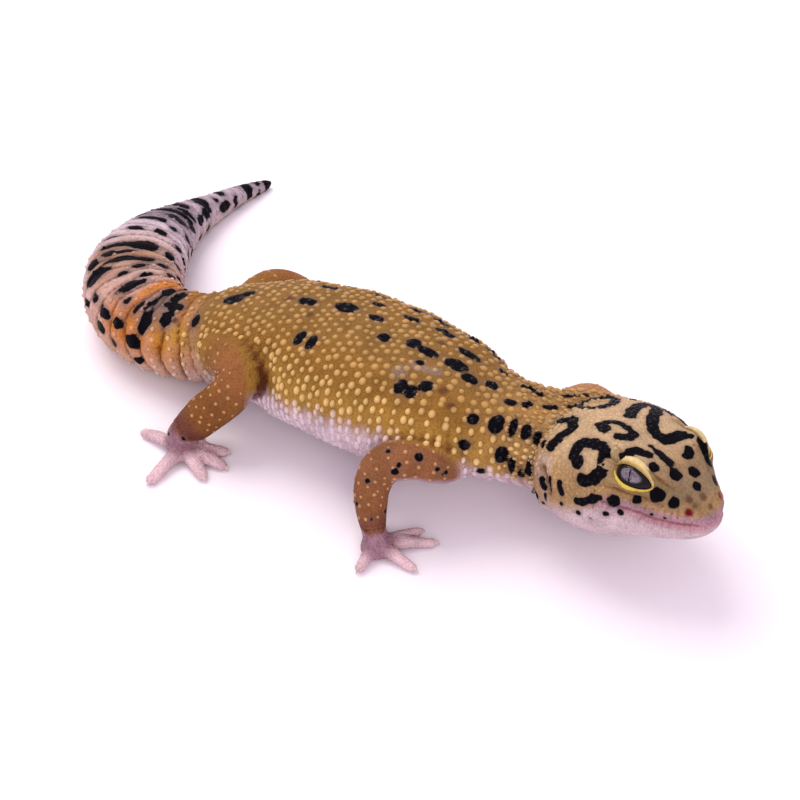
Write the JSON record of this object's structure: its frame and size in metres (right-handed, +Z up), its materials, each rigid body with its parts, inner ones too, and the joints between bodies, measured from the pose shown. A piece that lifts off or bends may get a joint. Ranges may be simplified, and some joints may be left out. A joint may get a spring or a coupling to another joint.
{
  "type": "leopard gecko",
  "caption": "Life-size leopard gecko standing still, belly off the floor, head turned a little to its right, thick ringed tail swept to its left.",
  "frame": {"origin": "middle of the footprint's bounding box, on the floor", "axes": "+X towards the head, +Y towards the animal's left, +Z up; the floor is z = 0"},
  "size_m": [0.1624, 0.1082, 0.0287],
  "materials": {
    "head": "fine matte scales",
    "jaw": "fine matte scales, pinkish",
    "eye": "wet gloss",
    "trunk": "matte scales with raised tubercles",
    "tail": "matte scales in rings",
    "leg": "matte scales",
    "foot": "fine smooth scales"
  },
  "bodies": {
    "root": {"head": "head", "lower_jaw": "jaw", "eye_left": "eye", "eye_right": "eye", "neck": "trunk", "trunk": "trunk", "tail_base": "tail", "tail_swelling": "tail", "tail_taper": "tail", "tail_tip": "tail", "left_upper_arm": "leg", "left_forearm": "leg", "left_hand": "foot", "left_thigh": "leg", "left_shank": "leg", "left_foot": "foot", "right_upper_arm": "leg", "right_forearm": "leg", "right_hand": "foot", "right_thigh": "leg", "right_shank": "leg", "right_foot": "foot"}
  },
  "joints": []
}
